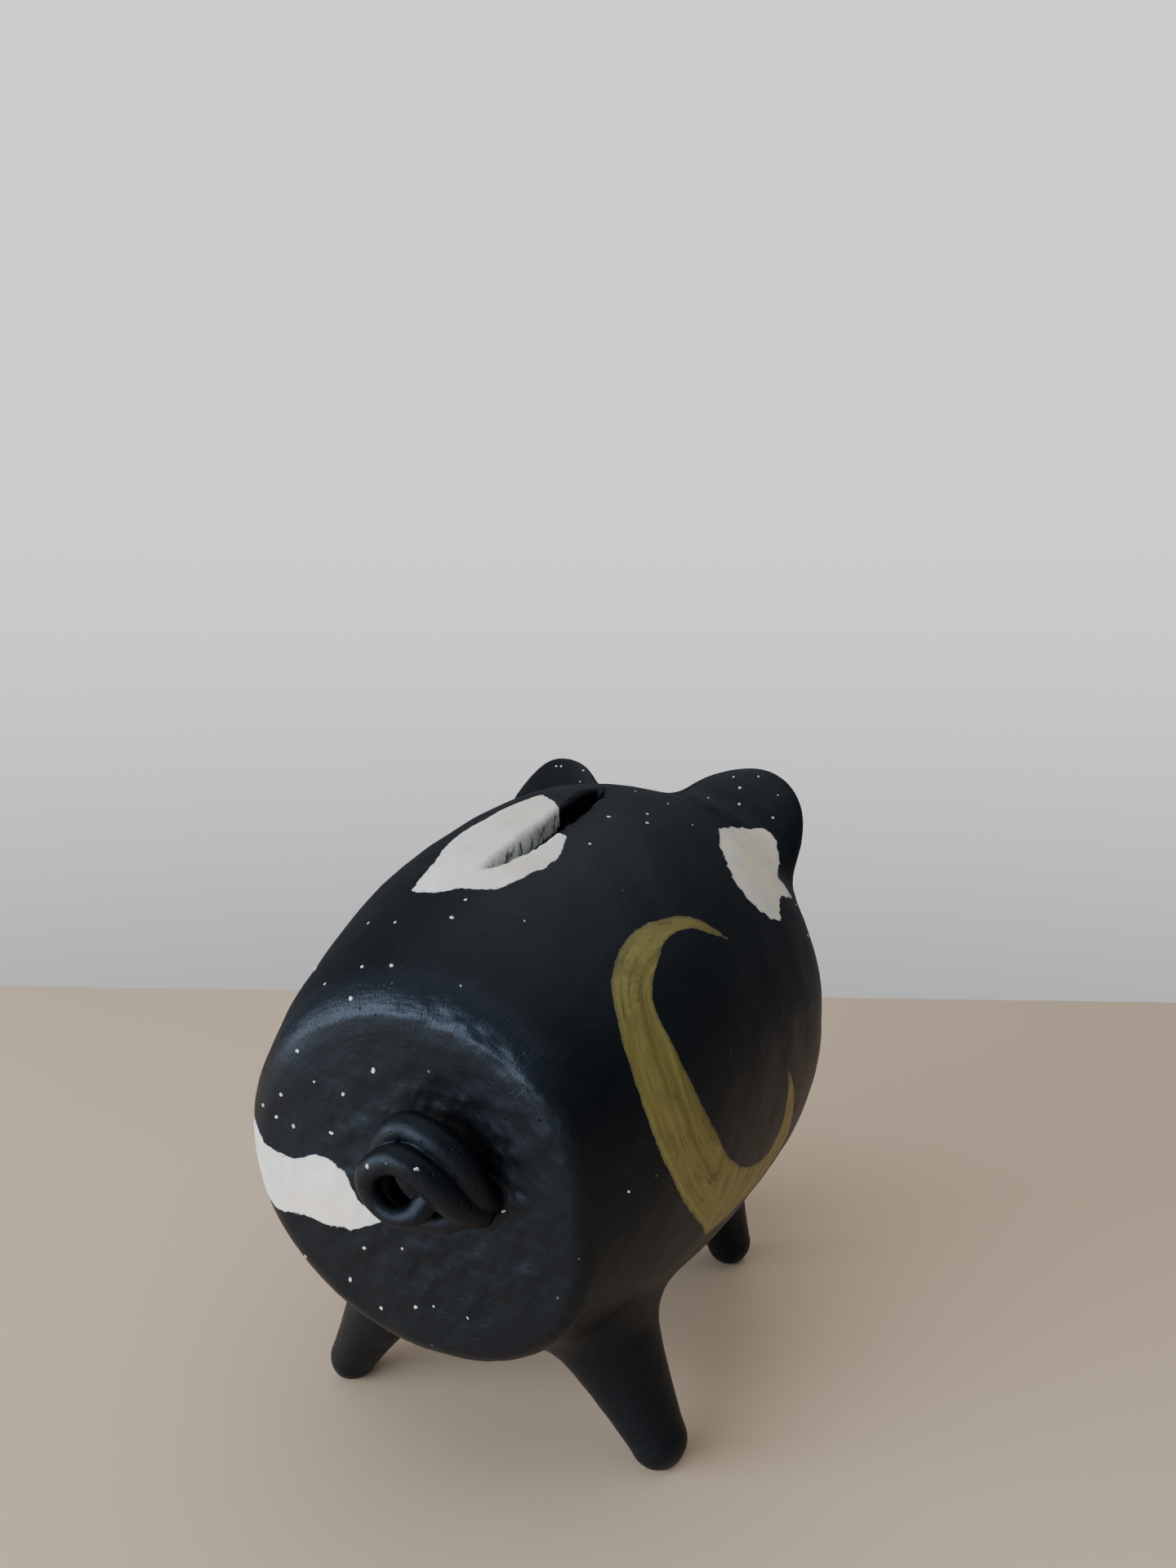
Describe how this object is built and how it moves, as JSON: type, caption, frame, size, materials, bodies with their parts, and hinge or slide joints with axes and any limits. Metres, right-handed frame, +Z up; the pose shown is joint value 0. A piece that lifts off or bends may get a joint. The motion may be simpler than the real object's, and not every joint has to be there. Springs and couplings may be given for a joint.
{
  "type": "piggy bank",
  "caption": "Hand-built clay pig coin bank: hollow barrel body with a long coin slot on top, coiled tail, stub legs and a pull-out belly stopper.",
  "frame": {"origin": "centre of the footprint box on the table, under the four feet", "axes": "+Y towards the snout, +X towards the pig's right side, +Z up"},
  "size_m": [0.1, 0.1638, 0.118],
  "materials": {
    "painted_clay": "hand-painted near-black matte acrylic over fired clay",
    "painted_clay_light": "hand-painted cream acrylic over fired clay",
    "stopper_rubber": "plain moulded rubber, satin"
  },
  "bodies": {
    "pig": {"body_shell": "painted_clay", "rear_plate": "painted_clay", "snout_tube": "painted_clay", "snout_plate": "painted_clay", "ear_left": "painted_clay", "ear_right": "painted_clay", "eye_left": "painted_clay_light", "eye_right": "painted_clay_light", "leg_rear_left": "painted_clay", "leg_rear_right": "painted_clay", "leg_front_left": "painted_clay", "leg_front_right": "painted_clay", "tail_coil": "painted_clay"},
    "stopper": {"belly_stopper": "stopper_rubber"}
  },
  "joints": [
    {"name": "stopper_pull", "type": "slide", "parent": "pig", "child": "stopper", "axis": [0, 0.0698, -0.9976], "range_m": [0, 0.0115]}
  ]
}
